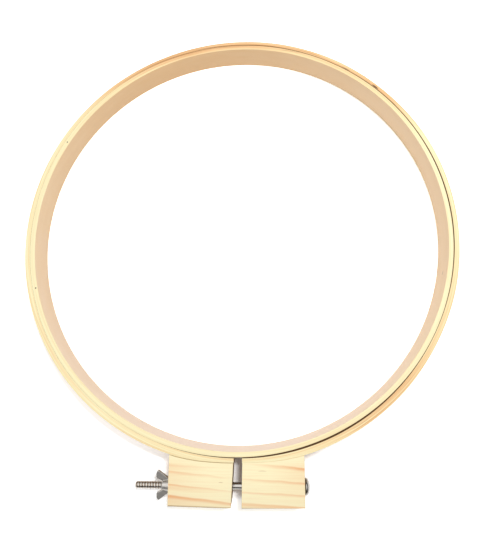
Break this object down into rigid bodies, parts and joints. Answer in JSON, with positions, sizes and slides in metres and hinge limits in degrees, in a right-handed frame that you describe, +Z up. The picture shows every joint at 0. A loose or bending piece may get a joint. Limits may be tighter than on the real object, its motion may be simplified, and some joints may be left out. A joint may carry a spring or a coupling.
{
  "type": "embroidery hoop",
  "caption": "Round wooden embroidery hoop: a plain inner ring inside a split outer ring, drawn tight by a carriage bolt and wing nut through two wooden blocks.",
  "frame": {"origin": "middle of the bounding box at its underside, on the surface that the hoop lies on; the rings' centre is 16.0 mm from it along +Y", "axes": "+Z up through the rings, +Y from the clamp blocks across the rings, +X from the wing nut towards the bolt head"},
  "size_m": [0.3732, 0.4052, 0.0226],
  "materials": {
    "bentwood_outer": "sanded, clear, with fine end streaks along the ring",
    "bentwood_inner": "sanded smooth, clear",
    "pine_block": "planed pine with orange growth lines",
    "bolt_steel": "bright rolled steel",
    "nut_zinc": "dull plated casting"
  },
  "bodies": {
    "outer_hoop": {"outer_ring": "bentwood_outer", "left_clamp_block": "pine_block", "right_clamp_block": "pine_block"},
    "inner_hoop": {"inner_ring": "bentwood_inner"},
    "bolt": {"clamp_bolt": "bolt_steel"},
    "nut": {"wing_nut": "nut_zinc"}
  },
  "joints": [
    {"name": "inner_hoop_lift", "type": "slide", "parent": "outer_hoop", "child": "inner_hoop", "axis": [0, 0, 1], "range_m": [0, 0.035]},
    {"name": "wing_nut_turn", "type": "hinge", "parent": "outer_hoop", "child": "nut", "pos_m": [-0.05372, -0.18955, 0.0113], "axis": [-1, 0, 0], "range_deg": [0, 4320]},
    {"name": "bolt_back_out", "type": "slide", "parent": "outer_hoop", "child": "bolt", "axis": [1, 0, 0], "range_m": [0, 0.012]}
  ],
  "couplings": [
    {"joint": "wing_nut_turn", "follows": "bolt_back_out", "rad_per_m": 6283.2}
  ]
}
